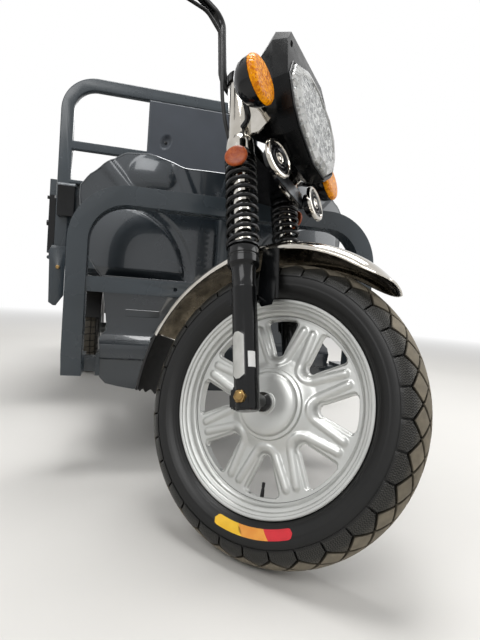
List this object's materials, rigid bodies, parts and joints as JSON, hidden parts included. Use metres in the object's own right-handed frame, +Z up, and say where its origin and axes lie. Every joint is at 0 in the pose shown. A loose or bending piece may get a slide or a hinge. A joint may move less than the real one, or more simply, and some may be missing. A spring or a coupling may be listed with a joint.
{
  "type": "electric cargo tricycle",
  "caption": "Electric cargo tricycle with a spring fork, front hoop bumper, leg shield, seat over a battery box and a flat bed with folding sides and tailgate.",
  "frame": {"origin": "on the ground under the middle of the vehicle's outline with the fork steered 45 degrees to the left, halfway between its front and rear extremes", "axes": "+X to the vehicle's left, +Y to its rear (the front wheel is towards -Y), +Z up"},
  "size_m": [1.258, 2.9141, 1.5244],
  "materials": {
    "frame_paint": "semi-gloss dark slate grey",
    "shield_paint": "gloss slate grey with fine metallic",
    "black_paint": "gloss black",
    "chrome": "polished",
    "zinc_steel": "zinc plated",
    "cast_alloy": "silver painted cast",
    "wheel_paint": "silver",
    "tyre_rubber": "matt, a little dusty",
    "black_rubber": "matt",
    "black_plastic": "satin",
    "seat_vinyl": "grained vinyl",
    "clear_lens": "clear",
    "amber_lens": "translucent amber",
    "red_lens": "translucent red"
  },
  "bodies": {
    "chassis": {"main_frame": "frame_paint", "bumper_hoop": "frame_paint", "leg_shield": "shield_paint", "lower_apron": "shield_paint", "floorboard": "frame_paint", "foot_controls": "black_paint", "seat_box": "frame_paint", "battery_block": "black_plastic", "backrest_panel": "frame_paint", "bed_frame": "frame_paint", "bed_floor": "frame_paint", "bed_headboard": "frame_paint", "corner_brackets": "frame_paint", "marker_boxes": "black_plastic", "bed_latches": "black_paint", "rear_axle": "black_paint", "leaf_springs": "black_paint", "rear_fenders": "frame_paint", "tail_lamps": "red_lens"},
    "fork": {"steering_stem": "black_paint", "fork_legs": "black_paint", "fork_tubes": "chrome", "fork_springs": "black_paint", "fork_reflectors": "amber_lens", "handlebar": "black_paint", "handlebar_controls": "black_rubber", "mirrors": "black_plastic", "headlight_housing": "black_plastic", "headlight_lens": "clear_lens", "lamp_bracket": "chrome", "horns": "chrome", "turn_signals": "amber_lens", "front_fender": "chrome", "mudflap": "black_rubber", "front_axle": "zinc_steel", "brake_harness": "black_rubber"},
    "front_wheel": {"front_rim": "cast_alloy", "front_tyre": "tyre_rubber"},
    "rear_wheel_left": {"rear_rim_left": "wheel_paint", "rear_tyre_left": "tyre_rubber"},
    "rear_wheel_right": {"rear_rim_right": "wheel_paint", "rear_tyre_right": "tyre_rubber"},
    "left_side": {"side_panel_left": "frame_paint"},
    "right_side": {"side_panel_right": "frame_paint"},
    "rear_gate": {"tailgate": "frame_paint", "tail_latches": "zinc_steel"},
    "seat": {"seat_base": "black_plastic", "seat_cushion": "seat_vinyl"}
  },
  "joints": [
    {"name": "steering", "type": "hinge", "parent": "chassis", "child": "fork", "pos_m": [0, -0.93591, 0.8908], "axis": [0, 0.3746, 0.9272], "range_deg": [-91, 1]},
    {"name": "front_wheel_spin", "type": "hinge", "parent": "fork", "child": "front_wheel", "pos_m": [0.03394, -1.21387, 0.29343], "axis": [0.7071, 0.6556, -0.2649], "continuous": true},
    {"name": "rear_wheel_left_spin", "type": "hinge", "parent": "chassis", "child": "rear_wheel_left", "pos_m": [0.49, 0.82309, 0.272], "axis": [1, 0, 0], "continuous": true},
    {"name": "rear_wheel_right_spin", "type": "hinge", "parent": "chassis", "child": "rear_wheel_right", "pos_m": [-0.49, 0.82309, 0.272], "axis": [1, 0, 0], "continuous": true},
    {"name": "left_side_drop", "type": "hinge", "parent": "chassis", "child": "left_side", "pos_m": [0.621, 0.64759, 0.63], "axis": [0, 1, 0], "range_deg": [0, 175]},
    {"name": "right_side_drop", "type": "hinge", "parent": "chassis", "child": "right_side", "pos_m": [-0.621, 0.64759, 0.63], "axis": [0, -1, 0], "range_deg": [0, 175]},
    {"name": "tailgate_drop", "type": "hinge", "parent": "chassis", "child": "rear_gate", "pos_m": [0, 1.43309, 0.63], "axis": [-1, 0, 0], "range_deg": [0, 175]},
    {"name": "seat_tilt", "type": "hinge", "parent": "chassis", "child": "seat", "pos_m": [0, -0.40891, 0.685], "axis": [1, 0, 0], "range_deg": [0, 80]}
  ]
}
